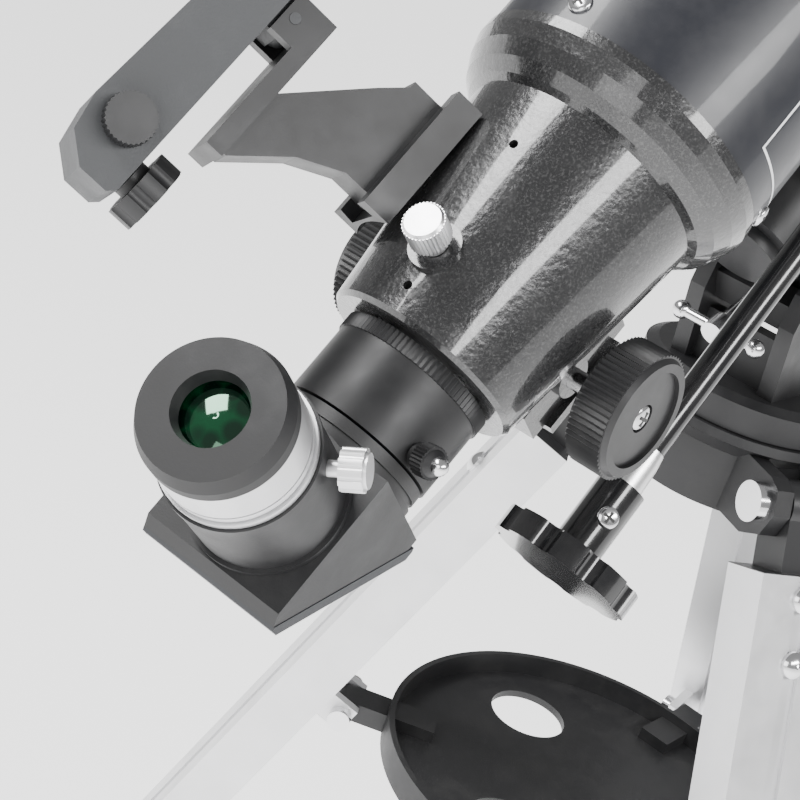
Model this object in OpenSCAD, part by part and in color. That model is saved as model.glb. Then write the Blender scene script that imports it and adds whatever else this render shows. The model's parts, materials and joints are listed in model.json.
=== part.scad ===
// Small refractor telescope on an equatorial mount and an aluminium tripod.
// Row frame: millimetres, +Z up, the floor at z = 0, the azimuth axis at x = y = 0.
// +X is the horizontal heading of the tube, so the eyepiece end is towards -X.
// Tube frame: origin at the centre of the focuser housing's rear face, +x along the
// optical axis towards the objective, +z up out of the tube, +y to the left.

/* [Pose] */
// Tube elevation and polar axis altitude at rest, degrees
elevation = 50; // [20:1:60]
// Turn of the star diagonal about the tube axis, degrees
diagonal_turn = 8.25; // [-30:0.25:30]
// Azimuth of the first tripod leg, degrees
leg_azimuth = 0; // [-60:1:60]
// Splay of the tripod legs from the vertical, degrees
leg_splay = 22; // [15:1:28]

/* [Optical tube] */
// Outside radius of the main tube
tube_r = 44; // [40:0.5:60]
// Wall of the main tube
tube_wall = 1.5; // [1:0.1:3]
// Front end of the main tube
tube_front = 360; // [300:5:900]
// Outside radius of the dew shield
shield_r = 51; // [48:0.5:70]
// Length of the dew shield
shield_len = 104; // [60:1:160]

/* [Focuser] */
// Rear rim radius of the focuser housing
housing_rear_r = 28.4; // [25:0.1:35]
// Radius of the housing where the flare starts
housing_mid_r = 35.4; // [30:0.1:40]
// Outside radius of the drawtube
draw_r = 17.3; // [16.8:0.1:20]
// Bore radius of the drawtube
draw_bore_r = 15.95; // [15.9:0.05:18]
// Gear module of rack and pinion
gear_module = 0.7; // [0.5:0.05:1]
// Teeth on the pinion
pinion_teeth = 14; // [12:1:18]
// Position of the pinion along the tube
pinion_x = 26.5; // [20:0.5:40]
// Radius of the focus knobs
knob_r = 18.4; // [14:0.1:22]

/* [Eyepiece end] */
// Distance of the eyepiece axis behind the housing
eyepiece_x = -52.6; // [-60:0.1:-45]
// Radius of the eyepiece body
eyepiece_r = 18.2; // [16:0.1:22]
// Radius of the standard eyepiece barrel
barrel_r = 15.86; // [15.8:0.01:15.9]

/* [Mount] */
// Position of the declination axis along the tube
dec_x = 200; // [150:1:300]
// Depth of the polar axis under the tube axis
polar_drop = 105; // [95:1:130]
// Radius of the counterweight
weight_r = 42; // [30:1:50]
// Centre of the counterweight under the tube axis
weight_z = -246; // [-300:1:-200]

/* [Tripod] */
// Length from the leg hinge to the foot
leg_len = 620; // [500:5:800]
// Width of the upper leg section
leg_w = 36; // [28:1:44]
// Depth of the upper leg section
leg_d = 20; // [16:1:26]
// Distance of the tray below the leg hinges
tray_drop = 155; // [120:5:300]

/* [Hidden] */
$fn = 64;

// Derived sizes
tube_in = tube_r - tube_wall;
flare_x = 67.4;
flare_end = 83.5;
pitch_r = gear_module * pinion_teeth / 2;
pinion_z = -24;
cell_seat_end = 392;
rack_z = pinion_z + pitch_r;
tooth_pitch = PI * gear_module;
ring_x1 = dec_x - 55;
ring_x2 = dec_x + 55;
ring_w = 16;
pivot_x = dec_x - 50;
pivot_z = -polar_drop - 45;
hinge_r = 52;
foot_h = 12;
hinge_z = leg_len * cos(leg_splay) + foot_h;
hub_top = hinge_z + 15;
base_h = 57;
pivot_h = hub_top + base_h;
worm_tilt = 3.7;
bolt_tilt = 30;
clamp_y = -57.5;
cell_r = shield_r - 4.25;

// Frames
module ota() {
  translate([0, 0, pivot_h])
    rotate([0, -elevation, 0])
      translate([-pivot_x, 0, -pivot_z]) children();
}

module along_x(x0 = 0) {
  translate([x0, 0, 0]) rotate([0, 90, 0]) children();
}

module tube_x(x0, x1, r_out, r_in = 0) {
  along_x(x0) difference() {
    cylinder(r = r_out, h = x1 - x0);
    if (r_in > 0) translate([0, 0, -1]) cylinder(r = r_in, h = x1 - x0 + 2);
  }
}

// Cylinder along y, from y0 to y1, at a point in x and z
module tube_y(x, z, y0, y1, r) {
  translate([x, y1, z]) rotate([90, 0, 0]) cylinder(r = r, h = y1 - y0);
}

module box(a, b) {
  translate(a) cube([b[0] - a[0], b[1] - a[1], b[2] - a[2]]);
}

// Frame of the star diagonal: turned about the tube axis
module diag() {
  ota() rotate([diagonal_turn, 0, 0]) children();
}

// Frame of the finder: x along the tube, z outwards at 45 degrees to the left
module find() {
  ota() rotate([-45, 0, 0]) children();
}

// Frame of the declination worm
module worm_frame() {
  ota() translate([dec_x, -30, -polar_drop + 35]) rotate([0, -worm_tilt, 0]) children();
}

// Frame of the latitude bolt, which rises towards the pivot
module bolt_frame() {
  translate([0, 0, pivot_h]) rotate([0, -bolt_tilt, 0]) children();
}

module leg_frame(i) {
  rotate([0, 0, leg_azimuth + 120 * i])
    translate([hinge_r, 0, hinge_z])
      rotate([0, -leg_splay, 0]) children();
}

// Lobed knob outline along z
module lobed(r, h, n, dip) {
  difference() {
    cylinder(r = r, h = h);
    for (i = [0:n - 1]) rotate([0, 0, (i + 0.5) * 360 / n])
      translate([r + dip * 0.55, 0, -1]) cylinder(r = dip, h = h + 2);
  }
}

// Knurled cylinder: straight axial grooves
module knurled(r, h, n, depth) {
  linear_extrude(height = h)
    polygon([for (i = [0:2 * n - 1])
      let (a = i * 180 / n, q = (i % 2 == 0) ? r : r - depth) [q * cos(a), q * sin(a)]]);
}

// Optical tube
module main_tube() {
  color([0.08, 0.08, 0.1]) ota() {
    tube_x(79.6, tube_front, tube_r, tube_in);
    tube_x(180, 182, tube_in - 0.05, 36);
    tube_x(270, 272, tube_in - 0.05, 38.5);
  }
}

module dew_shield() {
  color([0.1, 0.1, 0.1]) ota() {
    difference() {
      along_x(352) union() {
        cylinder(r = shield_r, h = shield_len);
        translate([0, 0, shield_len - 6]) cylinder(r = shield_r + 1, h = 6);
      }
      tube_x(351, cell_seat_end + 0.1, cell_r + 0.05);
      tube_x(cell_seat_end, 352 + shield_len + 1, shield_r - 2);
    }
  }
}

module objective_cell() {
  color([0.12, 0.12, 0.12]) ota() difference() {
    tube_x(345, 388, cell_r);
    tube_x(344, tube_front + 0.2, tube_r + 0.05);
    tube_x(359, 365, 40);
    tube_x(364.9, 384, 41.2);
    tube_x(383.9, 389, 39.8);
  }
}

module objective_lenses() {
  color([0.7, 0.8, 0.8, 0.4]) ota() {
    intersection() {
      tube_x(370, 384, 41);
      translate([383.4 - 300, 0, 0]) sphere(r = 300, $fn = 96);
      translate([373 + 300, 0, 0]) sphere(r = 300, $fn = 96);
    }
    difference() {
      tube_x(365.2, 377.5, 41);
      translate([372.8 + 300, 0, 0]) sphere(r = 300, $fn = 96);
    }
  }
}

// Focuser
module focuser_housing() {
  color([0.2, 0.2, 0.2]) ota() difference() {
    union() {
      along_x() rotate_extrude($fn = 96) polygon([
        [draw_r + 0.06, 0], [housing_rear_r - 1.2, 0], [housing_rear_r, 1.2],
        [housing_mid_r, flare_x], [housing_mid_r + 2.2, flare_x + 1.2],
        [housing_mid_r + 5.4, flare_x + 4.2], [housing_mid_r + 7.8, flare_x + 8.6],
        [44.6, flare_x + 13], [44.6, flare_end], [44.1, flare_end], [44.1, 79.2],
        [40.5, 79.2], [33.5, 68], [31.5, 60], [draw_r + 0.06, 60]]);
      translate([19.6, 0, 24]) cylinder(r = 7, h = 7.6);
    }
    // Recess between the two guide lands
    tube_x(13, 47, draw_r + 1.4);
    // Rack groove
    box([-1, -4.3, -21.4], [61, 4.3, -14]);
    // Seat of the pinion cover
    box([8.9, -22.3, -60], [50.1, 22.3, -20.65]);
    // Room for the pinion and its bosses
    box([pinion_x - 6.2, -7.3, -22], [pinion_x + 6.2, 7.3, -14]);
    for (s = [-1, 1]) tube_y(pinion_x, pinion_z, s > 0 ? 18.6 : -26, s > 0 ? 26 : -18.6, 6.3);
    // Lock screw hole
    translate([19.6, 0, 10]) cylinder(r = 2.05, h = 30);
    // Collimation screw holes along the top
    for (x = [8, 52]) translate([x, 0, 15]) cylinder(r = 1.2, h = 30, $fn = 24);
  }
}

module pinion_cover() {
  color([0.2, 0.2, 0.2]) ota() difference() {
    union() {
      box([9, -22, -33], [50, 22, -21.45]);
      box([14, -24, -36], [45, 24, -32.9]);
      for (s = [-1, 1]) tube_y(pinion_x, pinion_z, s > 0 ? 19 : -24.5, s > 0 ? 24.5 : -19, 6);
    }
    tube_y(pinion_x, pinion_z, -7.3, 7.3, 6.4);
    box([pinion_x - 6.4, -7.3, pinion_z], [pinion_x + 6.4, 7.3, -20]);
    tube_y(pinion_x, pinion_z, -40, 40, 3.05);
  }
}

function involute(a) = tan(a) - a * PI / 180;

// Involute pinion outline with one tooth towards +Y of the outline
function pinion_pts(m, n, lash) =
  let (rp = m * n / 2, rb = rp * cos(20), ra = rp + 0.8 * m, rf = rp - m,
       half = 90 / n - lash / (4 * rp) * 180 / PI + involute(20) * 180 / PI, k = 4)
  [for (i = [0:n - 1]) let (c = 90 + i * 360 / n)
    each concat(
      [[rf, c - half]],
      [for (j = [0:k]) let (r = rb + (ra - rb) * j / k, a = acos(min(1, rb / r)))
        [r, c - half + involute(a) * 180 / PI]],
      [for (j = [k:-1:0]) let (r = rb + (ra - rb) * j / k, a = acos(min(1, rb / r)))
        [r, c + half - involute(a) * 180 / PI]],
      [[rf, c + half]])];

module pinion_shaft() {
  color([0.8, 0.8, 0.8]) ota() {
    tube_y(pinion_x, pinion_z, -46, 46, 3);
    translate([pinion_x, 6.8, pinion_z]) rotate([90, 0, 0]) linear_extrude(height = 13.6)
      polygon([for (p = pinion_pts(gear_module, pinion_teeth, 0.24))
        [p[0] * cos(p[1]), p[0] * sin(p[1])]]);
  }
}

module drawtube() {
  n = 42;
  a = 0.56;
  d = 0.75;
  color([0.75, 0.75, 0.75]) ota() {
    difference() {
      tube_x(-4.6, 118, draw_r, draw_bore_r);
      box([12, -3.6, -18], [116, 3.6, -16.9]);
    }
    translate([0, 3.5, 0]) rotate([90, 0, 0]) linear_extrude(height = 7)
      polygon(concat(
        [[13, rack_z + 2.2], [13, rack_z + d]],
        [for (i = [0:n - 1]) let (x = pinion_x - 3.5 * tooth_pitch + i * tooth_pitch,
            t = tooth_pitch / 4 - 0.04, g = tan(20))
          each [[x - t - d * g, rack_z + d],
                [x - t + a * g, rack_z - a],
                [x + t - a * g, rack_z - a],
                [x + t + d * g, rack_z + d]]],
        [[115, rack_z + d], [115, rack_z + 2.2]]));
  }
}

module focus_knob(s) {
  ota() translate([pinion_x, s * 33.6, pinion_z]) rotate([s > 0 ? -90 : 90, 0, 0])
    difference() {
      union() {
        cylinder(r = 7, h = 3, $fn = 48);
        translate([0, 0, 2]) cylinder(r = knob_r - 1.4, h = 0.8);
        translate([0, 0, 2.8]) knurled(knob_r, 10.6, 66, 0.7);
        translate([0, 0, 13.4]) cylinder(r1 = knob_r - 1, r2 = knob_r - 1.9, h = 1.5);
      }
      translate([0, 0, 13.7]) cylinder(r = 14, h = 2);
      translate([0, 0, -1]) cylinder(r = 3.05, h = 13.6);
      translate([0, 0, 10.8]) cylinder(r = 4.1, h = 5);
    }
}

module focus_knob_right() {
  color([0.05, 0.05, 0.05]) focus_knob(-1);
}

module focus_knob_left() {
  color([0.05, 0.05, 0.05]) focus_knob(1);
}

module focus_lock_screw() {
  color([0.85, 0.85, 0.85]) ota() translate([19.6, 0, 0]) {
    translate([0, 0, draw_r + 0.4]) cylinder(r = 2, h = 18);
    translate([0, 0, 31.9]) cylinder(r = 3.6, h = 3.2);
    translate([0, 0, 35]) knurled(5.6, 7, 36, 0.35);
    translate([0, 0, 42]) cylinder(r1 = 5.3, r2 = 4.7, h = 0.8);
  }
}

module eyepiece_adapter() {
  color([0.06, 0.06, 0.06]) ota() difference() {
    union() {
      tube_x(-25.6, -5.2, 21.8);
      along_x(-5.2) knurled(22.4, 4.3, 90, 0.45);
      along_x(-5.3) cylinder(r = 21.6, h = 0.2);
    }
    tube_x(-27, -4.9, 15.93);
    tube_x(-5, 1, draw_r + 0.05);
    rotate([69, 0, 0]) translate([-21.6, 0, 10]) cylinder(r = 2.05, h = 20);
  }
}

module adapter_thumbscrew() {
  color([0.1, 0.1, 0.1]) ota() rotate([69, 0, 0]) translate([-21.6, 0, 0]) {
    translate([0, 0, barrel_r + 0.4]) cylinder(r = 2, h = 12);
    translate([0, 0, 22.2]) cylinder(r = 3.4, h = 2.4);
    translate([0, 0, 24.4]) knurled(4.4, 4.4, 28, 0.35);
    translate([0, 0, 28.8]) cylinder(r1 = 3.6, r2 = 2.2, h = 1.8);
  }
}

// Star diagonal
module diagonal_body() {
  color([0.05, 0.05, 0.05]) diag() difference() {
    union() {
      tube_x(-26.9, -2.9 - 5, barrel_r);
      tube_x(-29.4, -26.2, 21.2);
      tube_x(-31.2, -29.4, 20.6);
      tube_x(-33.5, -31.2, 21.4);
      translate([0, 21.4, 0]) rotate([90, 0, 0]) linear_extrude(height = 42.8)
        polygon([[-33, 21], [-73.6, 21], [-76.5, 18], [-36.5, -22], [-33, -22]]);
      translate([eyepiece_x, 0, 20]) cylinder(r = 20.4, h = 3);
      translate([eyepiece_x, 0, 22.9]) cylinder(r = 19.3, h = 24.3);
      translate([eyepiece_x, 0, 47.2]) cylinder(r = 19.6, h = 2.8);
    }
    tube_x(-53, 0, 14.2);
    translate([eyepiece_x, 0, 5]) cylinder(r = 14.2, h = 60);
    translate([eyepiece_x, 0, 22]) cylinder(r = 15.93, h = 40);
    // Mirror seat
    translate([eyepiece_x, 0, 0]) rotate([0, 45, 0]) box([-18, -15, -30], [18, 15, 0]);
    // Thumbscrew hole
    translate([eyepiece_x, 0, 42.4]) rotate([0, 0, -58.6]) tube_x(10, 30, 2.05);
  }
}

module diagonal_mirror() {
  color([0.9, 0.9, 0.9]) diag() translate([eyepiece_x, 0, 0]) rotate([0, 45, 0])
    box([-17.8, -14.8, -3.4], [17.8, 14.8, -0.2]);
}

module diagonal_cover() {
  color([0.12, 0.13, 0.15]) diag() translate([eyepiece_x, 0, 0]) rotate([0, 45, 0])
    difference() {
      box([-29.4, -21.6, -7.6], [29.4, 21.6, -4.22]);
      translate([-29.4, 0, -7.6]) rotate([0, 45, 0]) box([-1.4, -30, -1.4], [1.4, 30, 1.4]);
      translate([29.4, 0, -7.6]) rotate([0, 45, 0]) box([-1.4, -30, -1.4], [1.4, 30, 1.4]);
    }
}

module diagonal_thumbscrew() {
  color([0.85, 0.85, 0.85]) diag() translate([eyepiece_x, 0, 42.4]) rotate([0, 0, -58.6])
    along_x() {
      translate([0, 0, barrel_r + 0.4]) cylinder(r = 2, h = 9);
      translate([0, 0, 22.6]) lobed(5.2, 5.6, 12, 0.9);
      translate([0, 0, 28.1]) cylinder(r = 4.2, h = 0.9);
    }
}

// Eyepiece
module eyepiece_body() {
  color([0.85, 0.85, 0.85]) diag() translate([eyepiece_x, 0, 0]) difference() {
    union() {
      translate([0, 0, 24]) cylinder(r = barrel_r, h = 27);
      translate([0, 0, 50.3]) cylinder(r = 18.9, h = 2);
      translate([0, 0, 52.3]) cylinder(r = 17.6, h = 0.8);
      translate([0, 0, 53]) cylinder(r = eyepiece_r, h = 1.8);
      translate([0, 0, 54.8]) cylinder(r = 17.6, h = 0.8);
      translate([0, 0, 55.5]) cylinder(r = eyepiece_r, h = 11);
    }
    translate([0, 0, 20]) cylinder(r = 14, h = 60);
  }
}

module eyepiece_top() {
  color([0.04, 0.04, 0.04]) diag() translate([eyepiece_x, 0, 0]) difference() {
    union() {
      translate([0, 0, 66.6]) cylinder(r = eyepiece_r, h = 3.4);
      translate([0, 0, 70]) cylinder(r1 = eyepiece_r, r2 = 16.8, h = 4);
      translate([0, 0, 60]) cylinder(r = 13.95, h = 7);
    }
    translate([0, 0, 59]) cylinder(r = 10.3, h = 11.5);
    translate([0, 0, 70.4]) cylinder(r1 = 8, r2 = 9.2, h = 4);
  }
}

module eyepiece_lenses() {
  color([0.1, 0.3, 0.25, 0.5]) diag() translate([eyepiece_x, 0, 0]) {
    intersection() {
      translate([0, 0, 64]) cylinder(r = 10.2, h = 6.3);
      translate([0, 0, 70.2 - 30]) sphere(r = 30, $fn = 96);
    }
    intersection() {
      translate([0, 0, 46]) cylinder(r = 13.9, h = 7);
      translate([0, 0, 46.2 + 40]) sphere(r = 40, $fn = 96);
    }
  }
}

// Finder
module finder_shoe() {
  color([0.08, 0.08, 0.08]) find() difference() {
    box([18, -13, 28], [56, 13, 41]);
    // Saddle to the housing
    translate([0, 0, 0]) tube_x(10, 60, 35.2);
    // Dovetail slot
    translate([10, 0, 0]) rotate([90, 0, 90]) linear_extrude(height = 60)
      polygon([[-8.6, 36.2], [8.6, 36.2], [6.9, 42], [-6.9, 42]]);
  }
}

module finder_bracket() {
  color([0.06, 0.06, 0.06]) find() difference() {
    union() {
      translate([22, 0, 0]) rotate([90, 0, 90]) linear_extrude(height = 30)
        polygon([[-8.2, 36.5], [8.2, 36.5], [6.4, 42], [6.4, 50], [-6.4, 50], [-6.4, 42]]);
      translate([0, 6.4, 0]) rotate([90, 0, 0]) linear_extrude(height = 12.8)
        polygon([[22, 48], [52, 48], [44, 56], [22, 76], [4, 76], [4, 73], [16, 60]]);
      box([2, -11, 74], [46, 11, 79]);
      for (s = [-1, 1]) box([34, s * 9 - 2, 78], [46, s * 9 + 2, 86]);
    }
    tube_y(40, 83, -20, 20, 1.55);
  }
}

module finder_body() {
  color([0.12, 0.12, 0.13]) find() difference() {
    union() {
      translate([0, 13, 0]) rotate([90, 0, 0]) linear_extrude(height = 26)
        polygon([[-24, 89], [-22, 87], [62, 87], [62, 98], [50, 103], [-8, 106], [-18, 104],
                 [-24, 97]]);
      tube_y(40, 83, -6.7, 6.7, 4);
      box([35, -6.7, 83], [45, 6.7, 88]);
      tube_y(40, 83, -11.2, 11.2, 1.5);
      // Window frame
      box([56, -15, 87], [62, 15, 126]);
    }
    box([55, -12, 100], [63, 12, 123]);
    // Altitude and azimuth screw holes
    translate([-15, 0, 80]) cylinder(r = 2.05, h = 14);
    tube_y(20, 94, 8, 20, 2.05);
    tube_y(-8, 96, -20, -8, 2.05);
  }
}

module finder_window() {
  color([0.6, 0.2, 0.2, 0.4]) find() box([58, -11.95, 100.05], [60, 11.95, 122.95]);
}

module finder_altitude_knob() {
  color([0.05, 0.05, 0.05]) find() translate([-15, 0, 0]) {
    translate([0, 0, 78]) lobed(9.6, 6.4, 8, 2.2);
    translate([0, 0, 84]) cylinder(r = 5, h = 2.4);
    translate([0, 0, 84]) cylinder(r = 2, h = 9.5);
  }
}

module finder_azimuth_knob() {
  color([0.05, 0.05, 0.05]) find() translate([20, 13.6, 94]) rotate([-90, 0, 0]) {
    lobed(7.5, 5, 8, 1.8);
    translate([0, 0, -5.4]) cylinder(r = 2, h = 6);
  }
}

module finder_switch_knob() {
  color([0.05, 0.05, 0.05]) find() translate([-8, -13.6, 96]) rotate([90, 0, 0]) {
    knurled(6.5, 5, 32, 0.4);
    translate([0, 0, -5.4]) cylinder(r = 2, h = 6);
  }
}

// Tube rings
module ring_lower() {
  color([0.07, 0.07, 0.07]) ota() for (x = [ring_x1, ring_x2]) translate([x - ring_w / 2, 0, 0]) {
    difference() {
      union() {
        tube_x(0, ring_w, 49);
        box([0, -16, -50], [ring_w, 16, -40]);
        box([0, -64, -9], [ring_w, -46, -0.2]);
        box([0, 46, -4.5], [ring_w, 54, -0.2]);
      }
      tube_x(-1, ring_w + 1, tube_r + 0.05);
      box([-1, -70, -0.2], [ring_w + 1, 70, 60]);
      box([5, 49.2, -10], [ring_w - 5, 60, 10]);
      translate([ring_w / 2, clamp_y, -7.5]) cylinder(r = 4.2, h = 10);
    }
    for (q = [[0, 4.7], [ring_w - 4.7, ring_w]]) along_knuckle(q[0], q[1]);
    translate([-0.5, 54, 0]) rotate([0, 90, 0]) cylinder(r = 1.6, h = ring_w + 1, $fn = 48);
  }
}

module along_knuckle(x0, x1) {
  translate([x0, 54, 0]) rotate([0, 90, 0]) cylinder(r = 4.5, h = x1 - x0, $fn = 48);
}

module ring_upper(x) {
  ota() translate([x - ring_w / 2, 0, 0]) difference() {
    union() {
      difference() {
        tube_x(0, ring_w, 49);
        box([-1, -60, -60], [ring_w + 1, 60, 0.2]);
      }
      box([0, -64, 0.2], [ring_w, -47, 9]);
      along_knuckle(5.2, ring_w - 5.2);
      box([5.2, 47.5, 0.2], [ring_w - 5.2, 54, 4.5]);
    }
    tube_x(-1, ring_w + 1, tube_r + 0.35);
    translate([ring_w / 2, clamp_y, -1]) cylinder(r = 2.55, h = 12);
    translate([-1, 54, 0]) rotate([0, 90, 0]) cylinder(r = 1.66, h = ring_w + 2, $fn = 48);
  }
}

module ring_upper_rear() {
  color([0.07, 0.07, 0.07]) ring_upper(ring_x1);
}

module ring_upper_front() {
  color([0.07, 0.07, 0.07]) ring_upper(ring_x2);
}

module ring_clamp(x) {
  ota() translate([x, clamp_y, 0]) {
    translate([0, 0, -5.5]) cylinder(r = 2.5, h = 16);
    translate([0, 0, 9.3]) cylinder(r = 5, h = 3);
    translate([0, 0, 12]) lobed(9, 8, 6, 3);
  }
}

module ring_clamp_rear() {
  color([0.05, 0.05, 0.05]) ring_clamp(ring_x1);
}

module ring_clamp_front() {
  color([0.05, 0.05, 0.05]) ring_clamp(ring_x2);
}

// Equatorial head
module saddle_plate() {
  color([0.1, 0.1, 0.1]) ota() {
    box([ring_x1 - 12, -15, -58], [ring_x2 + 12, 15, -50.05]);
    translate([dec_x, 0, -66]) cylinder(r = 22, h = 8.1);
    translate([dec_x, 0, -74]) cylinder(r = 24, h = 8);
    translate([dec_x, 0, -128]) cylinder(r = 8, h = 60);
  }
}

module dec_circle() {
  color([0.75, 0.75, 0.75]) ota() translate([dec_x, 0, -61.4]) difference() {
    cylinder(r1 = 30, r2 = 27.5, h = 3.2);
    translate([0, 0, -1]) cylinder(r = 22.05, h = 8);
  }
}

module dec_housing() {
  color([0.1, 0.1, 0.1]) difference() {
    union() {
      ota() {
        translate([dec_x, 0, -75]) cylinder(r = 29, h = 8.6);
        translate([dec_x, 0, -83]) cylinder(r1 = 20, r2 = 29, h = 8.1);
        translate([dec_x, 0, -136]) cylinder(r = 20, h = 54);
        translate([dec_x, 0, -141]) cylinder(r = 14, h = 6);
        translate([0, 0, -polar_drop]) tube_x(dec_x - 28, dec_x - 10, 24);
        translate([0, 0, -polar_drop]) tube_x(pivot_x - 23, dec_x - 27, 9);
        translate([0, 0, -polar_drop]) tube_x(dec_x - 50, dec_x - 42, 23.4);
        box([dec_x - 9, 15, -114], [dec_x + 9, 26, -96]);
      }
      worm_frame() box([-19, -9, -9], [19, 6, 7]);
    }
    ota() {
      translate([dec_x, 0, -74.4]) cylinder(r = 24.6, h = 9);
      translate([dec_x, 0, -129]) cylinder(r = 8.05, h = 60);
      translate([dec_x, 0, -142]) cylinder(r = 5.05, h = 11);
      tube_y(dec_x, -polar_drop, 5, 30, 2.05);
    }
    worm_frame() {
      tube_x(-14.3, 14.3, 6.2);
      tube_x(-25, 25, 3.05);
    }
  }
}

module dec_drive_shaft() {
  color([0.03, 0.03, 0.03]) worm_frame() {
    tube_x(-14, 14, 5.6);
    tube_x(-26, 18, 3);
    tube_x(-30, -19.4, 5.2);
    tube_x(-166, -29, 4.4);
    along_x(-176) cylinder(r1 = 3.6, r2 = 4.6, h = 10.1);
  }
}

module dec_control_knob() {
  color([0.03, 0.03, 0.03]) worm_frame() difference() {
    union() {
      along_x(-200) cylinder(r = 7.4, h = 24.5);
      along_x(-207.6) lobed(22.5, 7.8, 9, 4.2);
    }
    tube_x(-190, -170, 3.7);
  }
}

module dec_lock_screw() {
  color([0.05, 0.05, 0.05]) ota() translate([dec_x, 0, -polar_drop]) rotate([-90, 0, 0]) {
    translate([0, 0, 8.5]) cylinder(r = 2, h = 20);
    translate([0, 0, 26.6]) cylinder(r = 4.5, h = 3);
    translate([0, 0, 29.4]) lobed(8, 7, 6, 2.6);
  }
}

module counterweight_shaft() {
  color([0.85, 0.85, 0.85]) ota() translate([dec_x, 0, 0]) {
    translate([0, 0, -141.1]) cylinder(r = 5, h = 9);
    translate([0, 0, -316]) cylinder(r = 6, h = 174.9);
    translate([0, 0, -146]) cylinder(r = 9, h = 4.9);
    translate([0, 0, -321]) cylinder(r = 9.5, h = 5.1);
  }
}

module counterweight() {
  color([0.06, 0.06, 0.06]) ota() translate([dec_x, 0, weight_z - 20]) difference() {
    union() {
      cylinder(r1 = weight_r - 2, r2 = weight_r, h = 2.5);
      translate([0, 0, 2.5]) cylinder(r = weight_r, h = 35);
      translate([0, 0, 37.5]) cylinder(r1 = weight_r, r2 = weight_r - 2, h = 2.5);
    }
    translate([0, 0, -1]) cylinder(r = 6.06, h = 42);
    translate([0, 0, 37]) cylinder(r = weight_r - 12, h = 4);
    translate([0, 0, 20]) rotate([0, 90, 0]) cylinder(r = 3.05, h = 60);
  }
}

module counterweight_screw() {
  color([0.05, 0.05, 0.05]) ota() translate([dec_x, 0, weight_z]) along_x() {
    translate([0, 0, 6.5]) cylinder(r = 3, h = weight_r);
    translate([0, 0, weight_r + 0.6]) cylinder(r = 5, h = 3);
    translate([0, 0, weight_r + 3.4]) lobed(9, 8, 6, 3);
  }
}

module ra_housing() {
  color([0.1, 0.1, 0.1]) ota() difference() {
    union() {
      translate([0, 0, -polar_drop]) {
        tube_x(pivot_x - 28, dec_x - 54, 21);
        tube_x(pivot_x - 32, pivot_x - 27.9, 16);
        tube_x(dec_x - 55, dec_x - 32, 29);
      }
      box([pivot_x - 15, -14.6, pivot_z], [pivot_x + 15, 14.6, -polar_drop - 10]);
      tube_y(pivot_x, pivot_z, -14.6, 14.6, 15);
      // Worm box
      box([dec_x - 56, -14.6, -polar_drop - 39], [dec_x - 36, 14.6, -polar_drop - 20]);
      // Lock screw boss
      box([dec_x - 68, 16, -polar_drop - 6], [dec_x - 56, 27, -polar_drop + 6]);
    }
    translate([0, 0, -polar_drop]) {
      tube_x(pivot_x - 24, dec_x - 30, 9.06);
      tube_x(dec_x - 50.6, dec_x - 31, 23.9);
    }
    tube_y(pivot_x, pivot_z, -20, 20, 5.05);
    tube_y(dec_x - 46, -polar_drop - 29.6, -10.3, 10.3, 6.2);
    tube_y(dec_x - 46, -polar_drop - 29.6, -20, 20, 3.05);
    tube_y(dec_x - 62, -polar_drop, 5, 40, 2.05);
  }
}

module ra_circle() {
  color([0.75, 0.75, 0.75]) ota() translate([dec_x - 28.4 - 3.2, 0, -polar_drop]) difference() {
    along_x() cylinder(r1 = 31, r2 = 27, h = 5);
    tube_x(-1, 8, 24.05);
  }
}

module ra_drive() {
  color([0.03, 0.03, 0.03]) ota() {
    tube_y(dec_x - 46, -polar_drop - 29.6, -10, 10, 5.6);
    tube_y(dec_x - 46, -polar_drop - 29.6, -14.6, 40, 3);
    translate([dec_x - 46, 28, -polar_drop - 29.6]) rotate([-90, 0, 0]) {
      cylinder(r = 6, h = 14);
      translate([0, 0, 12]) lobed(13, 8, 8, 3);
    }
  }
}

module ra_lock_screw() {
  color([0.05, 0.05, 0.05]) ota() translate([dec_x - 62, 0, -polar_drop]) rotate([-90, 0, 0]) {
    translate([0, 0, 9.6]) cylinder(r = 2, h = 22);
    translate([0, 0, 27.6]) cylinder(r = 4.5, h = 3);
    translate([0, 0, 30.4]) lobed(8, 7, 6, 2.6);
  }
}

module latitude_base() {
  color([0.1, 0.1, 0.1]) {
    difference() {
      union() {
        translate([0, 0, pivot_h - base_h + 0.4]) cylinder(r = 40, h = 9.8, $fn = 96);
        translate([0, 0, pivot_h - base_h + 10]) cylinder(r1 = 40, r2 = 36, h = 2.4, $fn = 96);
        for (s = [-1, 1]) translate([0, s * 18 + 3, pivot_h]) rotate([90, 0, 0])
          linear_extrude(height = 6) polygon([[-26, -46], [28, -46], [13, 2], [8, 8.5],
            [0, 11.5], [-8, 8.5], [-30, -6], [-32, -18]]);
        bolt_frame() box([-30, -15.1, -8], [-20.5, 15.1, 4]);
        box([-22, -15.1, pivot_h - 46], [-14, 15.1, pivot_h - 26]);
      }
      bolt_frame() tube_x(-40, -16, 3.05);
      tube_y(0, pivot_h, -30, 30, 5.02);
      translate([0, 0, pivot_h - base_h - 1]) cylinder(r = 8.05, h = 8);
    }
    tube_y(0, pivot_h, -25, 25, 5);
    for (s = [-1, 1]) tube_y(0, pivot_h, s > 0 ? 21 : -26.5, s > 0 ? 26.5 : -21, 8);
  }
}

module latitude_bolt() {
  color([0.85, 0.85, 0.85]) bolt_frame() {
    tube_x(-52, -18.6, 3);
    tube_x(-53.4, -46.6, 4.4);
    tube_y(-50, 0, -14.2, 14.2, 2);
    for (s = [-1, 1]) translate([-50, s * 14.8, 0]) sphere(r = 3.3, $fn = 48);
  }
}

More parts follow.
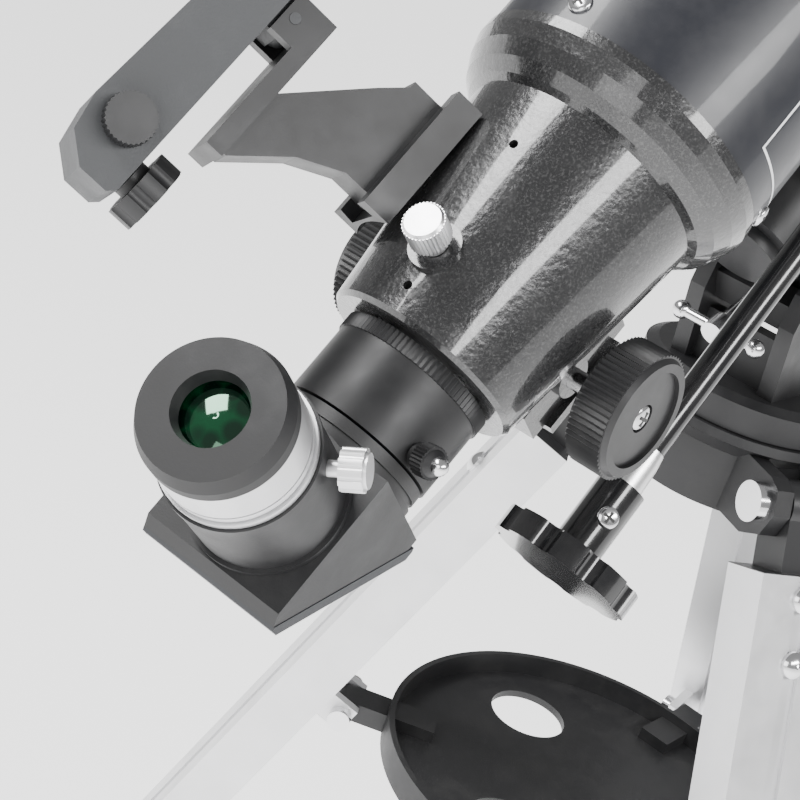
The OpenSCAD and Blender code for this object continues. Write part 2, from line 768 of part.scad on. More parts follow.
module azimuth_knob() {
  color([0.05, 0.05, 0.05]) rotate([0, 0, leg_azimuth - 60]) translate([0, 0, hub_top - 15])
    along_x() {
      translate([0, 0, 8.6]) cylinder(r = 3, h = 42);
      translate([0, 0, 46.6]) cylinder(r = 6, h = 6);
      translate([0, 0, 52]) lobed(12, 9, 5, 5);
    }
}

// Tripod
module tripod_hub() {
  color([0.08, 0.08, 0.08]) difference() {
    union() {
      translate([0, 0, hub_top - 30]) cylinder(r = 36, h = 27, $fn = 96);
      translate([0, 0, hub_top - 3.1]) cylinder(r1 = 43, r2 = 42, h = 3.1, $fn = 96);
      translate([0, 0, hub_top - 9]) cylinder(r1 = 36, r2 = 43, h = 6, $fn = 96);
      azimuth_post();
      for (i = [0:2]) rotate([0, 0, leg_azimuth + 120 * i]) {
        for (s = [-1, 1]) translate([0, s * 13.3 + 3.4, hinge_z]) rotate([90, 0, 0])
          linear_extrude(height = 6.8) polygon([[20, -14], [hinge_r - 4, -14], [hinge_r + 6, -9],
            [hinge_r + 9, 0], [hinge_r + 6, 8], [hinge_r, 10], [20, 10]]);
      }
    }
    for (i = [0:2]) rotate([0, 0, leg_azimuth + 120 * i])
      tube_y(hinge_r, hinge_z, -30, 30, 4.05);
    rotate([0, 0, leg_azimuth - 60]) translate([0, 0, hub_top - 15]) tube_x(8, 60, 3.05);
    translate([0, 0, hub_top - 31]) cylinder(r = 20, h = 12);
  }
}

module azimuth_post() {
  translate([0, 0, hub_top - 4]) cylinder(r = 8, h = 10.6);
}

module tripod_bolts() {
  color([0.85, 0.85, 0.85]) for (i = [0:2]) {
    rotate([0, 0, leg_azimuth + 120 * i]) {
      tube_y(hinge_r, hinge_z, -21, 21, 4);
      tube_y(hinge_r, hinge_z, -21.5, -16.75, 7);
      tube_y(hinge_r, hinge_z, 16.75, 21.5, 7);
    }
    leg_frame(i) {
      for (z = [-30, -52]) translate([leg_d / 2 + 0.05, 0, z]) dome();
      translate([0, 0, -tray_drop / cos(leg_splay)]) {
        tube_y(-leg_d / 2 - 9, 0, -12, 12, 2.5);
        tube_y(-leg_d / 2 - 9, 0, -15, -11.1, 4.5);
        tube_y(-leg_d / 2 - 9, 0, 11.1, 15, 4.5);
      }
    }
  }
}

module dome() {
  rotate([0, 90, 0]) intersection() {
    cylinder(r = 4.6, h = 3.2, $fn = 48);
    translate([0, 0, -3]) sphere(r = 6.2, $fn = 48);
  }
}

module upper_leg(i) {
  leg_frame(i) difference() {
    union() {
      box([-leg_d / 2, -leg_w / 2, -540], [leg_d / 2, leg_w / 2, -22]);
      tube_y(0, 0, -9.5, 9.5, 9);
      box([-8, -9.5, -24], [8, 9.5, 0]);
      // Tray ears
      translate([0, 0, -tray_drop / cos(leg_splay)]) for (s = [-1, 1])
        box([-leg_d / 2 - 13, s * 9 - 2, -6], [-leg_d / 2 + 1, s * 9 + 2, 6]);
      // Clamp collar at the lower end
      box([-leg_d / 2 - 1.5, -leg_w / 2 - 1.5, -552], [leg_d / 2 + 1.5, leg_w / 2 + 1.5, -520]);
    }
    tube_y(0, 0, -12, 12, 4.05);
    box([-6.6, -12.4, -560], [6.6, 12.4, -66]);
    // Central groove on both faces
    for (s = [-1, 1]) box([s * leg_d / 2 - 1.6, -3, -519], [s * leg_d / 2 + 1.6, 3, -24]);
    translate([0, 0, -tray_drop / cos(leg_splay)])
      tube_y(-leg_d / 2 - 9, 0, -20, 20, 2.55);
    translate([0, 0, -536]) tube_x(3, 30, 3.05);
  }
}

module upper_leg_a() {
  color([0.8, 0.8, 0.8]) upper_leg(0);
}

module upper_leg_b() {
  color([0.8, 0.8, 0.8]) upper_leg(1);
}

module upper_leg_c() {
  color([0.8, 0.8, 0.8]) upper_leg(2);
}

module lower_leg(i) {
  leg_frame(i) difference() {
    box([-6.25, -12, -leg_len + 8], [6.25, 12, -80]);
    box([-4.65, -10.4, -leg_len + 40], [4.65, 10.4, -70]);
  }
  rotate([0, 0, leg_azimuth + 120 * i])
    translate([hinge_r + leg_len * sin(leg_splay), 0, 0]) {
      cylinder(r1 = 17, r2 = 16, h = 5);
      translate([0, 0, 4.9]) cylinder(r1 = 16, r2 = 11, h = 13);
      translate([0, 0, 17.8]) cylinder(r = 11, h = 6);
    }
}

module lower_leg_a() {
  color([0.8, 0.8, 0.8]) lower_leg(0);
}

module lower_leg_b() {
  color([0.8, 0.8, 0.8]) lower_leg(1);
}

module lower_leg_c() {
  color([0.8, 0.8, 0.8]) lower_leg(2);
}

module leg_knob(i) {
  leg_frame(i) translate([0, 0, -536]) along_x() {
    translate([0, 0, 6.6]) cylinder(r = 3, h = 12);
    translate([0, 0, 11.9]) cylinder(r = 5, h = 3.2);
    translate([0, 0, 15]) lobed(10, 8, 6, 3.4);
  }
}

module leg_knob_a() {
  color([0.05, 0.05, 0.05]) leg_knob(0);
}

module leg_knob_b() {
  color([0.05, 0.05, 0.05]) leg_knob(1);
}

module leg_knob_c() {
  color([0.05, 0.05, 0.05]) leg_knob(2);
}

// Accessory tray with three arms that hold the legs apart
module tray() {
  rr = hinge_r + tray_drop * tan(leg_splay) - (leg_d / 2 + 9) * cos(leg_splay);
  tz = hinge_z - tray_drop - (leg_d / 2 + 9) * sin(leg_splay);
  color([0.05, 0.05, 0.05]) difference() {
    union() {
      translate([0, 0, tz - 3]) cylinder(r = 78, h = 3, $fn = 96);
      difference() {
        translate([0, 0, tz - 3]) cylinder(r = 80, h = 12, $fn = 96);
        translate([0, 0, tz - 4]) cylinder(r = 77.6, h = 14, $fn = 96);
      }
      for (i = [0:2]) rotate([0, 0, leg_azimuth + 120 * i]) {
        box([60, -6.6, tz - 3], [rr, 6.6, tz + 5]);
        tube_y(rr, tz, -6.6, 6.6, 5);
      }
    }
    for (i = [0:2]) rotate([0, 0, leg_azimuth + 120 * i]) {
      tube_y(rr, tz, -10, 10, 2.55);
    }
    for (i = [0:2]) rotate([0, 0, leg_azimuth + 60 + 120 * i])
      translate([48, 0, tz - 5]) cylinder(r = 16, h = 10);
  }
}

main_tube();
dew_shield();
objective_cell();
objective_lenses();
focuser_housing();
pinion_cover();
finder_shoe();
drawtube();
pinion_shaft();
focus_knob_right();
focus_knob_left();
focus_lock_screw();
eyepiece_adapter();
adapter_thumbscrew();
diagonal_body();
diagonal_cover();
diagonal_mirror();
diagonal_thumbscrew();
eyepiece_body();
eyepiece_top();
eyepiece_lenses();
finder_bracket();
finder_body();
finder_window();
finder_altitude_knob();
finder_azimuth_knob();
finder_switch_knob();
ring_lower();
ring_upper_rear();
ring_upper_front();
ring_clamp_rear();
ring_clamp_front();
saddle_plate();
dec_circle();
dec_housing();
dec_drive_shaft();
dec_control_knob();
dec_lock_screw();
counterweight_shaft();
counterweight();
counterweight_screw();
ra_housing();
ra_circle();
ra_drive();
ra_lock_screw();
latitude_base();
latitude_bolt();
azimuth_knob();
tripod_hub();
tripod_bolts();
upper_leg_a();
upper_leg_b();
upper_leg_c();
lower_leg_a();
lower_leg_b();
lower_leg_c();
leg_knob_a();
leg_knob_b();
leg_knob_c();
tray();
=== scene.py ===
"""Looks for the refractor telescope: materials, small trim, camera and light.

Lengths are metres. The tube frame has its origin at the centre of the focuser housing's rear
face, x forward along the optical axis, y to the left and z up out of the tube.
"""
import json
import math

import bpy
from mathutils import Matrix, Vector


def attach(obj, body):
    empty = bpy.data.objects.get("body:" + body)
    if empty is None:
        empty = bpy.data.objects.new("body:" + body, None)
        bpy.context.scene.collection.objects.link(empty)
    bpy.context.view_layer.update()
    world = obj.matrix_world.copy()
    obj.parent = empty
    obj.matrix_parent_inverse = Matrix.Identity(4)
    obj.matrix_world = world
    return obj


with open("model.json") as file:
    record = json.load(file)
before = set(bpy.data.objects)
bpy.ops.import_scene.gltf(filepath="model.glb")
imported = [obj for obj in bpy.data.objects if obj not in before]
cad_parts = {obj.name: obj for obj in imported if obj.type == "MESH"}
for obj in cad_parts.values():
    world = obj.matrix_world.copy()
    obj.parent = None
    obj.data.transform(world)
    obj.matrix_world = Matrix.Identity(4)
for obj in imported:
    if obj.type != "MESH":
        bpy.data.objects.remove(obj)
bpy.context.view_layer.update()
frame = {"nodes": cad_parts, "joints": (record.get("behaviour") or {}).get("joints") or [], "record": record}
NODES = frame["nodes"]
SUBPARTS = frame["record"]["subparts"]
JOINTS = {joint["name"]: joint for joint in frame["joints"]}


def joint_place(name):
    return Vector(JOINTS[name]["pos_m"])


def joint_axis(name):
    return Vector(JOINTS[name]["axis"])


# ---------------------------------------------------------------- tube frame
# Distance of the diagonal's joint behind the focuser housing's rear face
DIAGONAL_JOINT_BACK = 0.026
AXIS = joint_axis("ra_turn")
LEFT = Vector((0, 1, 0))
OUT = joint_axis("dec_turn")
ORIGIN = joint_place("diagonal_rotate") + AXIS * DIAGONAL_JOINT_BACK


def tube_dir(x, y, z):
    """A direction of the tube frame, in the row frame."""
    return AXIS * x + LEFT * y + OUT * z


def tube_at(x, y, z):
    """A point of the tube frame, in the row frame."""
    return ORIGIN + tube_dir(x, y, z)


def around(angle):
    """Outward direction at an angle in degrees from the tube's top towards its right side."""
    turn = math.radians(angle)
    return tube_dir(0, -math.sin(turn), math.cos(turn))


# ---------------------------------------------------------------- materials
COAT_ROUGHNESS = 0.06
SATIN_SILVER = (0.78, 0.78, 0.79)
LEG_SILVER = (0.8, 0.8, 0.81)
PAINT_BLACK = (0.02, 0.02, 0.021)
RUBBER_BLACK = (0.02, 0.02, 0.02)


class Look:
    """One procedural material: a Principled shader, with grain, wear and bump added to it."""

    def __init__(self, name, color, roughness, metallic=0.0, coat=0.0):
        self.material = bpy.data.materials.new(name)
        self.material.use_nodes = True
        self.tree = self.material.node_tree
        self.shader = self.tree.nodes["Principled BSDF"]
        self.normal = None
        self.set("Base Color", (*color, 1.0))
        self.set("Roughness", roughness)
        self.set("Metallic", metallic)
        self.set("Coat Weight", coat)
        self.set("Coat Roughness", COAT_ROUGHNESS)
        self.coords = self.node("ShaderNodeTexCoord").outputs["Object"]

    def node(self, kind, **settings):
        made = self.tree.nodes.new(kind)
        for key, value in settings.items():
            setattr(made, key, value)
        return made

    def set(self, socket, value):
        self.shader.inputs[socket].default_value = value

    def link(self, source, target):
        self.tree.links.new(source, target)

    def math(self, operation, a, b=0.0):
        made = self.node("ShaderNodeMath", operation=operation)
        for socket, value in zip(made.inputs, (a, b)):
            if isinstance(value, (int, float)):
                socket.default_value = value
            else:
                self.link(value, socket)
        return made.outputs[0]

    def along(self, direction, origin=Vector((0, 0, 0))):
        """Distance along a direction from a point, in metres."""
        shifted = self.node("ShaderNodeVectorMath", operation="SUBTRACT")
        self.link(self.coords, shifted.inputs[0])
        shifted.inputs[1].default_value = origin
        made = self.node("ShaderNodeVectorMath", operation="DOT_PRODUCT")
        self.link(shifted.outputs[0], made.inputs[0])
        made.inputs[1].default_value = direction
        return made.outputs["Value"]

    def noise(self, scale, detail=3.0, roughness=0.55):
        made = self.node("ShaderNodeTexNoise")
        self.link(self.coords, made.inputs["Vector"])
        made.inputs["Scale"].default_value = scale
        made.inputs["Detail"].default_value = detail
        made.inputs["Roughness"].default_value = roughness
        return made.outputs["Fac"]

    def streaks(self, direction, scale):
        """Noise that only changes along one direction, such as turning marks."""
        made = self.node("ShaderNodeTexNoise", noise_dimensions="1D")
        self.link(self.along(direction), made.inputs["W"])
        made.inputs["Scale"].default_value = scale
        made.inputs["Detail"].default_value = 4.0
        return made.outputs["Fac"]

    def cells(self, scale):
        made = self.node("ShaderNodeTexVoronoi")
        self.link(self.coords, made.inputs["Vector"])
        made.inputs["Scale"].default_value = scale
        return made.outputs["Distance"]

    def ramp(self, value, low, high, out_low=0.0, out_high=1.0):
        made = self.node("ShaderNodeMapRange")
        self.link(value, made.inputs["Value"])
        made.inputs["From Min"].default_value = low
        made.inputs["From Max"].default_value = high
        made.inputs["To Min"].default_value = out_low
        made.inputs["To Max"].default_value = out_high
        return made.outputs["Result"]

    def blend(self, socket, factor, value):
        """Mixes a shader input towards a value by a factor output."""
        target = self.shader.inputs[socket]
        is_color = target.type == "RGBA"
        made = self.node("ShaderNodeMix", data_type="RGBA" if is_color else "FLOAT")
        pick = "RGBA" if is_color else "VALUE"
        before, after = [item for item in made.inputs if item.type == pick and item.name in "AB"][:2]
        if target.links:
            self.link(target.links[0].from_socket, before)
        else:
            before.default_value = target.default_value
        after.default_value = (*value, 1.0) if is_color else value
        self.link(factor, made.inputs["Factor"])
        self.link([item for item in made.outputs if item.type == pick][0], target)

    def bump(self, height, distance, strength=1.0):
        made = self.node("ShaderNodeBump")
        made.inputs["Strength"].default_value = strength
        made.inputs["Distance"].default_value = distance
        self.link(height, made.inputs["Height"])
        if self.normal is not None:
            self.link(self.normal, made.inputs["Normal"])
        self.normal = made.outputs["Normal"]
        self.link(self.normal, self.shader.inputs["Normal"])

    def wear(self, dust=(0.35, 0.34, 0.32), amount=0.06, scale=60.0):
        """Uneven sheen and a little dust in broad patches."""
        patches = self.noise(scale, 5.0, 0.65)
        self.blend("Base Color", self.ramp(patches, 0.45, 0.8, 0.0, amount), dust)
        base = self.shader.inputs["Roughness"].default_value
        self.blend("Roughness", self.ramp(patches, 0.3, 0.75), min(1.0, base * 1.45 + 0.02))
        return self


def tube_paint():
    look = Look("tube_paint", (0.016, 0.017, 0.022), 0.3, coat=0.25)
    look.bump(look.noise(500.0, 2.0), 0.00002, 0.5)
    return look.wear(amount=0.03)


def hammertone():
    look = Look("hammertone", (0.022, 0.022, 0.023), 0.22, metallic=0.3, coat=0.9)
    fleck = look.noise(1500.0, 4.0, 0.75)
    look.blend("Base Color", look.ramp(fleck, 0.5, 0.68), (0.08, 0.08, 0.08))
    look.blend("Base Color", look.ramp(look.noise(2600.0, 2.0), 0.35, 0.2), (0.01, 0.01, 0.01))
    look.bump(look.noise(330.0, 3.0, 0.6), 0.00028, 0.75)
    look.bump(look.cells(700.0), 0.00007, 0.6)
    return look.wear(amount=0.02)


def anodised():
    look = Look("black_anodised", (0.013, 0.013, 0.014), 0.36, metallic=0.2)
    look.bump(look.streaks(AXIS, 4000.0), 0.00001, 0.5)
    look.bump(look.noise(2600.0, 2.0), 0.00001, 0.5)
    return look.wear(amount=0.03)


def powder_coat(name, color, roughness):
    look = Look(name, color, roughness)
    look.bump(look.noise(1700.0, 3.0), 0.00006, 0.6)
    return look.wear(amount=0.04)


def mirror_cover():
    look = Look("mirror_cover", (0.018, 0.02, 0.024), 0.42)
    look.bump(look.noise(2200.0, 2.0), 0.00003, 0.5)
    return look.wear(amount=0.04)


def turned_metal(name, axis, color, roughness):
    look = Look(name, color, roughness, metallic=1.0)
    marks = look.streaks(axis, 3500.0)
    look.blend("Roughness", look.ramp(marks, 0.35, 0.65), roughness + 0.12)
    look.bump(marks, 0.00001, 0.4)
    return look.wear((0.45, 0.45, 0.44), 0.1, 90.0)


def plated():
    look = Look("plated_steel", (0.8, 0.8, 0.81), 0.13, metallic=1.0)
    look.bump(look.noise(700.0, 2.0), 0.00001, 0.3)
    return look.wear((0.5, 0.5, 0.5), 0.08, 110.0)


def plastic(name, color, roughness, grain, depth, coat=0.0):
    look = Look(name, color, roughness, coat=coat)
    look.bump(look.noise(grain, 3.0), depth, 0.6)
    return look.wear(amount=0.05)


def glass(name, color, tint):
    """Coated glass, seen as a tint in its reflections."""
    look = Look(name, color, 0.02)
    look.set("Transmission Weight", 0.92)
    look.set("IOR", 1.52)
    look.set("Specular Tint", (*tint, 1.0))
    look.blend("Roughness", look.ramp(look.noise(150.0), 0.55, 0.8), 0.06)
    return look


def eye_glass():
    """The eye lens seen from outside: nearly black, with green coating reflections from its specular tint,
    and patches of painted green reflection in its base colour.
    """
    look = Look("eye_glass", (0.0, 0.006, 0.004), 0.04, coat=1.0)
    look.set("IOR", 1.7)
    look.set("Specular Tint", (0.4, 0.9, 0.6, 1.0))
    look.set("Coat Tint", (0.6, 1.0, 0.75, 1.0))
    # Patches of painted reflection: green coating glints put into the base colour
    painted_reflection_cells = look.cells(190.0)
    look.blend("Base Color", look.ramp(painted_reflection_cells, 0.35, 0.62), (0.0, 0.035, 0.016))
    return look


def mirror():
    look = Look("mirror_glass", (0.9, 0.91, 0.92), 0.02, metallic=1.0)
    look.blend("Roughness", look.ramp(look.noise(200.0), 0.5, 0.8), 0.07)
    return look


def cast_weight():
    look = Look("weight_iron", (0.014, 0.014, 0.015), 0.4)
    look.bump(look.noise(420.0, 4.0), 0.00012, 0.6)
    return look.wear(amount=0.05)


# Lines around a setting circle, the dark share of each, and a shift that keeps the count positive
GRADUATIONS = 72
TICK_SHARE = 0.16
COUNT_SHIFT = 100.0
TICK_BLACK = (0.02, 0.02, 0.02)


def circle_metal(name, centre, axis):
    """A setting circle: satin metal with dark graduations around its edge."""
    look = turned_metal(name, axis, (0.72, 0.72, 0.73), 0.34)
    side = axis.cross(LEFT).normalized()
    angle = look.math("ARCTAN2", look.along(LEFT, centre), look.along(side, centre))
    count = look.math("MULTIPLY", angle, GRADUATIONS / (2 * math.pi))
    place = look.math("FRACT", look.math("ADD", count, COUNT_SHIFT))
    tick = look.math("LESS_THAN", place, TICK_SHARE)
    look.blend("Base Color", tick, TICK_BLACK)
    look.blend("Metallic", tick, 0.0)
    return look


# Distances down a leg from its hinge
LEG_LOCK = 0.536
KNUCKLE_END = 0.0223
COLLAR_START = 0.5196
FOOT_START = 0.5925


def down_leg(look, letter):
    """Distance down a leg from its hinge, and the leg's direction."""
    down = joint_axis(f"leg_{letter}_extend")
    hinge = joint_place(f"leg_{letter}_lock_turn") - down * LEG_LOCK
    return look.along(down, hinge), down


def leg_metal(letter):
    """Silver extrusion with a black hinge knuckle and a black collar at its lower end."""
    look = Look(f"leg_{letter}", LEG_SILVER, 0.34, metallic=0.85)
    depth, down = down_leg(look, letter)
    side = joint_axis(f"leg_{letter}_lock_turn").cross(down)
    look.bump(look.streaks(side, 5200.0), 0.00001, 0.6)
    look.wear((0.55, 0.55, 0.54), 0.12, 40.0)
    top = look.math("LESS_THAN", depth, KNUCKLE_END)
    collar = look.math("GREATER_THAN", depth, COLLAR_START)
    black = look.math("MAXIMUM", top, collar)
    look.blend("Base Color", black, PAINT_BLACK)
    look.blend("Metallic", black, 0.0)
    look.blend("Roughness", black, 0.36)
    return look


def foot_metal(letter):
    """Silver inner leg with a black rubber foot."""
    look = Look(f"foot_{letter}", LEG_SILVER, 0.3, metallic=0.85)
    look.bump(look.noise(900.0, 2.0), 0.00002, 0.4)
    look.wear((0.5, 0.5, 0.5), 0.1, 50.0)
    foot = look.math("GREATER_THAN", down_leg(look, letter)[0], FOOT_START)
    look.blend("Base Color", foot, RUBBER_BLACK)
    look.blend("Metallic", foot, 0.0)
    look.blend("Roughness", foot, 0.65)
    return look


EYEPIECE_AXIS = joint_axis("eyepiece_pull")
LOOKS = {
    "tube_paint": tube_paint(),
    "hammertone": hammertone(),
    "black_anodised": anodised(),
    "black_paint": powder_coat("black_paint", (0.014, 0.014, 0.015), 0.38),
    "mirror_cover": mirror_cover(),
    "mirror_glass": mirror(),
    "lens_glass": glass("lens_glass", (0.85, 0.95, 0.92), (0.5, 0.7, 1.0)),
    "eye_glass": eye_glass(),
    "window_glass": glass("window_glass", (1.0, 0.75, 0.7), (1.0, 0.4, 0.3)),
    "satin_silver": turned_metal("satin_silver", EYEPIECE_AXIS, SATIN_SILVER, 0.3),
    "plated_steel": plated(),
    "drawn_steel": turned_metal("drawn_steel", AXIS, (0.7, 0.7, 0.71), 0.22),
    "black_rubber": plastic("black_rubber", (0.008, 0.008, 0.009), 0.45, 1400.0, 0.00003),
    "black_plastic": plastic("black_plastic", (0.014, 0.014, 0.015), 0.36, 1600.0, 0.00002),
    "finder_plastic": plastic("finder_plastic", (0.055, 0.057, 0.06), 0.5, 1300.0, 0.00016),
    "gloss_black": plastic("gloss_black", (0.008, 0.008, 0.009), 0.14, 400.0, 0.00001, 0.8),
    "weight_iron": cast_weight(),
}
OWN_LOOKS = {f"upper_leg_{letter}": leg_metal(letter) for letter in "abc"}
OWN_LOOKS.update({f"lower_leg_{letter}": foot_metal(letter) for letter in "abc"})
OWN_LOOKS["ra_circle"] = circle_metal("ra_circle", joint_place("ra_turn"), AXIS)
OWN_LOOKS["dec_circle"] = circle_metal("dec_circle", joint_place("dec_turn"), OUT)
OWN_LOOKS["focus_lock_screw"] = turned_metal("lock_screw_metal", OUT, SATIN_SILVER, 0.26)
OWN_LOOKS["adapter_thumbscrew"] = anodised()

for part in SUBPARTS:
    node_name = part["node"]
    node_look = OWN_LOOKS.get(node_name) or LOOKS[part["material_slot"]]
    node_mesh = NODES[node_name].data
    node_mesh.materials.clear()
    node_mesh.materials.append(node_look.material)


# ---------------------------------------------------------------- small pieces
# Edges that fold by more than this stay sharp
SHARP_EDGE = math.radians(35.0)


def make_piece(name, verts, faces, body, look):
    """A mesh piece in the row frame that rides on a CAD body."""
    mesh = bpy.data.meshes.new(name)
    mesh.from_pydata([tuple(vert) for vert in verts], [], faces)
    mesh.validate()
    mesh.polygons.foreach_set("use_smooth", [True] * len(mesh.polygons))
    mesh.set_sharp_from_angle(angle=SHARP_EDGE)
    mesh.materials.append(look.material)
    piece = bpy.data.objects.new(name, mesh)
    bpy.context.scene.collection.objects.link(piece)
    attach(piece, body)
    return piece


def frame_of(axis):
    """Two directions square to an axis, and the axis."""
    side = axis.orthogonal().normalized()
    return side, axis.cross(side).normalized(), axis.normalized()


def turned(name, start, axis, outline, body, look, steps=48):
    """A turned piece: outline is a list of (radius, height) from the start point along the axis."""
    u, v, w = frame_of(axis)
    verts = []
    for radius, height in outline:
        for k in range(steps):
            angle = 2 * math.pi * k / steps
            verts.append(start + w * height + (u * math.cos(angle) + v * math.sin(angle)) * radius)
    faces = []
    for row in range(len(outline) - 1):
        low = row * steps
        top = low + steps
        for k in range(steps):
            n = (k + 1) % steps
            faces.append((low + k, low + n, top + n, top + k))
    faces.append(tuple(reversed(range(steps))))
    faces.append(tuple(range((len(outline) - 1) * steps, len(outline) * steps)))
    return make_piece(name, verts, faces, body, look)


# Turn of a screw head's cross recess
RECESS_TWIST = math.radians(25.0)
# Half width and length of the recess's arms, as shares of the head's radius
RECESS_HALF_WIDTH = 0.13
RECESS_ARM = 0.58
# Top and depth of the recess, and straight rim of the head, as shares of the head's height
RECESS_TOP = 1.02
RECESS_DEPTH = 0.6
RIM_SHARE = 0.35
DOME_SHARE = 0.65


def cross_head(name, start, axis, radius, height, body):
    """A pan head screw, its bearing face at the start point, with its cross recess drawn as a dark cross
    piece whose colour is painted shade.
    """
    outline = [(radius, 0.0)]
    for degrees in range(0, 90, 12):
        lean = math.radians(degrees)
        share = RIM_SHARE + DOME_SHARE * math.sin(lean)
        outline.append((radius * math.cos(lean), height * share))
    turned(name, start, axis, outline, body, LOOKS["plated_steel"])
    # The recess is not cut into the head: a dark cross piece reaches from just above the dome down into it,
    # and its dark colour is painted shade
    u, v, w = frame_of(axis)
    turn = Matrix.Rotation(RECESS_TWIST, 3, w)
    u, v = turn @ u, turn @ v
    half, arm = radius * RECESS_HALF_WIDTH, radius * RECESS_ARM
    top = start + w * (height * RECESS_TOP)
    floor_drop = w * (height * RECESS_DEPTH)
    cross = [(-half, -arm), (half, -arm), (half, -half), (arm, -half), (arm, half), (half, half),
             (half, arm), (-half, arm), (-half, half), (-arm, half), (-arm, -half), (-half, -half)]
    verts = [top + u * a + v * b for a, b in cross]
    verts += [top - floor_drop + u * a + v * b for a, b in cross]
    count = len(cross)
    faces = [(k, (k + 1) % count, (k + 1) % count + count, k + count) for k in range(count)]
    faces.append(tuple(range(count)))
    make_piece(name + "_recess_shade", verts, faces, body, RECESS_SHADE_AND_SCREW_BLACK)


# Dark colour of the cross recess pieces, which is painted shade, and also the own black of the set screws
RECESS_SHADE_AND_SCREW_BLACK = plastic("recess_shade_and_screw_black", (0.03, 0.03, 0.03), 0.5, 900.0, 0.00001)
PRINT = plastic("printed_white", (0.85, 0.85, 0.86), 0.4, 900.0, 0.000005)
FERRULE = turned_metal("ferrule_metal", AXIS, (0.86, 0.86, 0.86), 0.24)

# Outside radius of the main tube
TUBE_RADIUS = 0.044


def knob_screws():
    """Pan head screws in the counterbores of both focus knobs."""
    pinion = joint_place("focus_pinion_turn")
    bearing = 0.0461
    for label, side in (("right", -1), ("left", 1)):
        cross_head(f"knob_screw_{label}", pinion + LEFT * (side * bearing), LEFT * side,
                   radius=0.0037, height=0.0017, body="focus_pinion")


def adapter_screw_tip():
    """Domed chrome tip of the adapter's thumbscrew."""
    screw_x = -0.0216
    screw_angle = 69
    screw_end = 0.0304
    outline = [(0.0024, 0), (0.0024, 0.0008), (0.0021, 0.0018), (0.0014, 0.0026), (0.0005, 0.003)]
    outward = around(screw_angle)
    turned("adapter_screw_tip", tube_at(screw_x, 0, 0) + outward * screw_end, outward, outline,
           "adapter_screw", LOOKS["plated_steel"], 24)


def tube_screws():
    """Three chrome screws around the tube, which hold the focuser housing in it."""
    screw_x = 0.0895
    sunk = 0.0002
    for k, angle in enumerate((113, 233, -7)):
        foot = tube_at(screw_x, 0, 0) + around(angle) * (TUBE_RADIUS - sunk)
        cross_head(f"tube_screw_{k}", foot, around(angle), radius=0.0032, height=0.0017, body="tube")


def set_screws():
    """Set screws sunk in the two holes on top of the housing, which widens towards the front."""
    rear_height = 0.0225
    slope = 0.06
    radius = 0.00115
    length = 0.0035
    for k, x in enumerate((0.008, 0.052)):
        foot = tube_at(x, 0, rear_height + x * slope)
        # Black set screws, in the same dark material that gives the cross recesses their painted shade
        turned(f"set_screw_{k}", foot, OUT, [(radius, 0), (radius, length)], "tube",
               RECESS_SHADE_AND_SCREW_BLACK, 24)


def control_knob_trim():
    """The slow motion knob's sleeve screw and the drive shaft's ferrule."""
    worm = joint_place("dec_worm_turn")
    rear = joint_axis("dec_worm_turn")
    outward = (LEFT * -0.62 + OUT * 0.78).normalized()
    outward = (outward - rear * outward.dot(rear)).normalized()
    screw_back = 0.187
    screw_seat = 0.0071
    ferrule_back = 0.1755
    cross_head("sleeve_screw", worm + rear * screw_back + outward * screw_seat, outward,
               radius=0.0033, height=0.0015, body="dec_worm")
    outline = [(0.0036, 0), (0.0058, 0.0002), (0.0054, 0.009), (0.0047, 0.0135), (0.0044, 0.0137)]
    turned("drive_ferrule", worm + rear * ferrule_back, -rear, outline, "dec_worm",
           FERRULE)


# Half width and height of the printed lines
STRIP = 0.0004
PRINT_HEIGHT = 0.00006


def printed_strip(name, points):
    """A thin strip on the tube along points of (x, angle, widening in x, widening in angle)."""
    verts = []
    faces = []
    half_turn = math.degrees(STRIP / TUBE_RADIUS)
    for k, (x, angle, wide_x, wide_angle) in enumerate(points):
        for side in (-1, 1):
            spot = tube_at(x + side * wide_x * STRIP, 0, 0)
            outward = around(angle + side * wide_angle * half_turn)
            verts.append(spot + outward * (TUBE_RADIUS + PRINT_HEIGHT))
        if k:
            faces.append((2 * k - 2, 2 * k - 1, 2 * k + 1, 2 * k))
    make_piece(name, verts, faces, "tube", PRINT)


def label_frame():
    """Line frame printed on the right side of the tube."""
    rear, front = 0.093, 0.129
    top, bottom = 76.0, 150.0
    steps = 24
    sweep = [top + (bottom - top) * k / steps for k in range(steps + 1)]
    printed_strip("label_rear", [(rear, angle, 1, 0) for angle in sweep])
    printed_strip("label_front", [(front, angle, 1, 0) for angle in sweep])
    for edge, angle in (("top", top), ("bottom", bottom)):
        printed_strip(f"label_{edge}", [(rear - STRIP, angle, 0, 1), (front + STRIP, angle, 0, 1)])


knob_screws()
adapter_screw_tip()
tube_screws()
set_screws()
control_knob_trim()
label_frame()


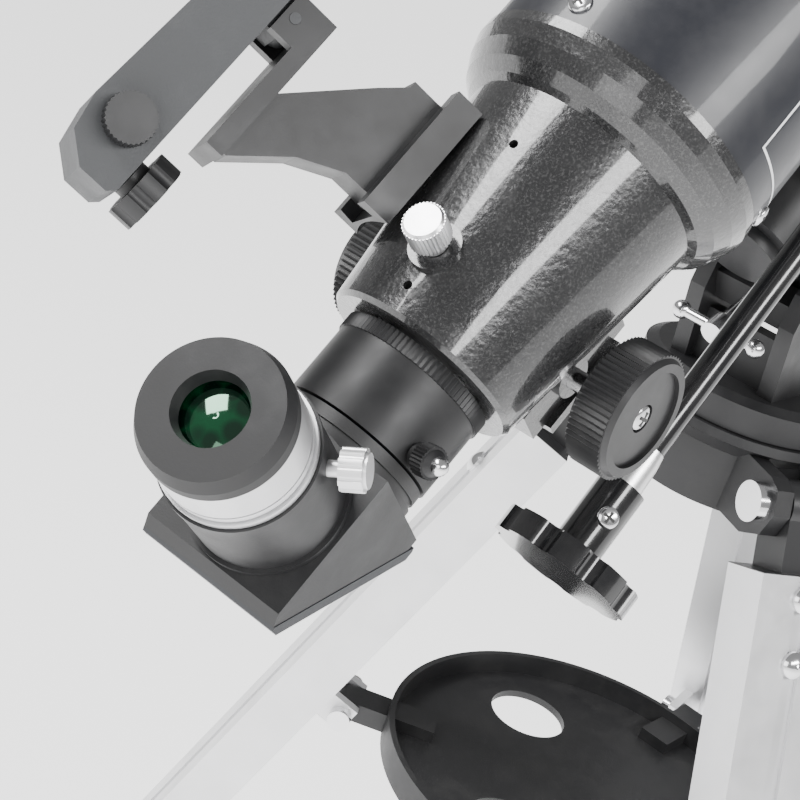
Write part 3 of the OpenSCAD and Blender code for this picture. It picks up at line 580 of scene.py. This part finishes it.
# ---------------------------------------------------------------- floor, light and camera
FLOOR_SIZE = 60.0
# The floor lies this far under the feet
FLOOR_GAP = 0.0005


def pale_floor():
    bpy.ops.mesh.primitive_plane_add(size=FLOOR_SIZE, location=(0, 0, -FLOOR_GAP))
    floor = bpy.context.object
    floor.name = "floor"
    look = Look("floor_pale", (0.93, 0.93, 0.93), 0.7)
    look.set("Emission Color", (1.0, 1.0, 1.0, 1.0))
    look.set("Emission Strength", 1.6)
    floor.data.materials.append(look.material)


def area_light(name, place, target, size, power):
    lamp = bpy.data.lights.new(name, "AREA")
    lamp.shape = "RECTANGLE"
    lamp.size, lamp.size_y = size
    lamp.energy = power
    holder = bpy.data.objects.new(name, lamp)
    holder.location = place
    holder.rotation_euler = (target - place).to_track_quat("-Z", "Y").to_euler()
    bpy.context.scene.collection.objects.link(holder)


def studio_light():
    focus = tube_at(0, 0, 0)
    area_light("key", focus + Vector((-0.6, 0.9, 1.3)), focus, (1.2, 0.5), 40)
    area_light("strip_right", focus + Vector((-0.2, -1.4, 0.9)), focus, (1.5, 0.3), 30)
    area_light("front", focus + Vector((-1.6, -0.4, 0.5)), focus, (0.9, 0.9), 9)
    world = bpy.data.worlds.new("studio")
    world.use_nodes = True
    background = world.node_tree.nodes["Background"]
    background.inputs["Color"].default_value = (1, 1, 1, 1)
    background.inputs["Strength"].default_value = 0.35
    bpy.context.scene.world = world


def make_camera():
    """The camera looks from the right rear and above at the focuser, tilted sideways."""
    place = tube_at(-0.1055, -0.2254, 0.3765)
    target = tube_at(-0.0097, -0.001, -0.0015)
    roll = math.radians(19.0)
    lens = bpy.data.cameras.new("camera")
    lens.lens = 79.0
    lens.sensor_width = 36.0
    lens.clip_end = 50.0
    made = bpy.data.objects.new("camera", lens)
    bpy.context.scene.collection.objects.link(made)
    aim = (target - place).to_track_quat("-Z", "Y").to_matrix().to_4x4()
    made.matrix_world = Matrix.Translation(place) @ aim @ Matrix.Rotation(roll, 4, "Z")
    return made


pale_floor()
studio_light()
camera = make_camera()
bpy.context.scene.camera = camera
